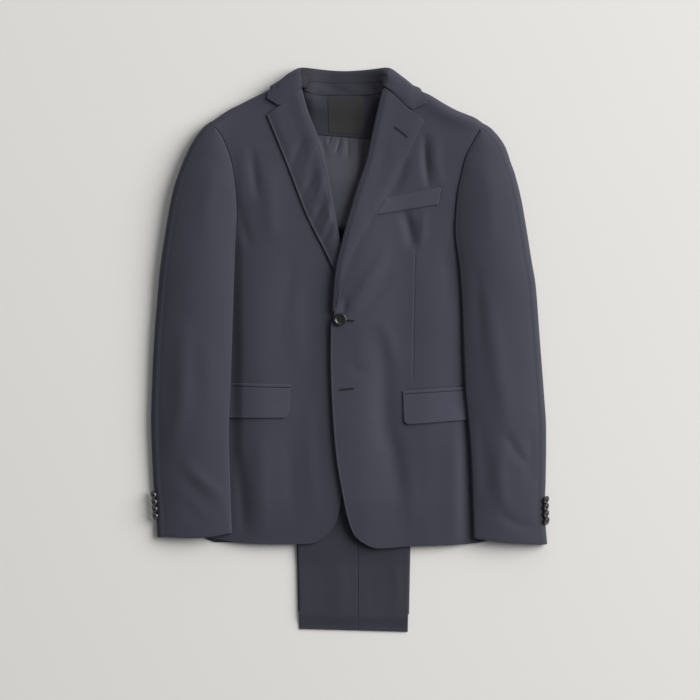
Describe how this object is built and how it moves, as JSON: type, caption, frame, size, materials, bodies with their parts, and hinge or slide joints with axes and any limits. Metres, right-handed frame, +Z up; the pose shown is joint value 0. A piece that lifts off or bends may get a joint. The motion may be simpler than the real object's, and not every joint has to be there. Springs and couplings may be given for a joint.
{
  "type": "suit",
  "caption": "Two-button suit laid flat on its back: notch-lapel jacket with arms at its sides and pressed trousers folded inside it, hems showing below.",
  "frame": {"origin": "centre of the bounding box's underside, on the surface that the suit lies on", "axes": "+Z up from the surface, +Y from the trouser hems towards the collar, +X towards the wearer's left sleeve"},
  "size_m": [0.6379, 0.9033, 0.0348],
  "materials": {
    "suit_cloth": "matte",
    "lining": "satin",
    "label": "satin",
    "button": "gloss"
  },
  "bodies": {
    "root": {"back_lining": "lining", "back_neck_facing": "suit_cloth", "chest_welt": "suit_cloth", "collar": "suit_cloth", "collar_stand": "suit_cloth", "cuff_button_left_1": "button", "cuff_button_left_2": "button", "cuff_button_left_3": "button", "cuff_button_left_4": "button", "cuff_button_right_1": "button", "cuff_button_right_2": "button", "cuff_button_right_3": "button", "cuff_button_right_4": "button", "front_button": "button", "jacket_back_left": "suit_cloth", "jacket_back_right": "suit_cloth", "jacket_front_left": "suit_cloth", "jacket_front_right": "suit_cloth", "jacket_side_left": "suit_cloth", "jacket_side_right": "suit_cloth", "label_bare": "label", "lapel_left": "suit_cloth", "lapel_right": "suit_cloth", "leg_under_back": "suit_cloth", "leg_under_front": "suit_cloth", "leg_upper_back": "suit_cloth", "leg_upper_front": "suit_cloth", "pocket_flap_left": "suit_cloth", "pocket_flap_right": "suit_cloth", "pocket_jet_left": "suit_cloth", "pocket_jet_right": "suit_cloth", "sleeve_under_left": "suit_cloth", "sleeve_under_right": "suit_cloth", "sleeve_upper_left": "suit_cloth", "sleeve_upper_right": "suit_cloth", "trousers_seat": "suit_cloth", "trousers_waistband": "suit_cloth"}
  },
  "joints": []
}
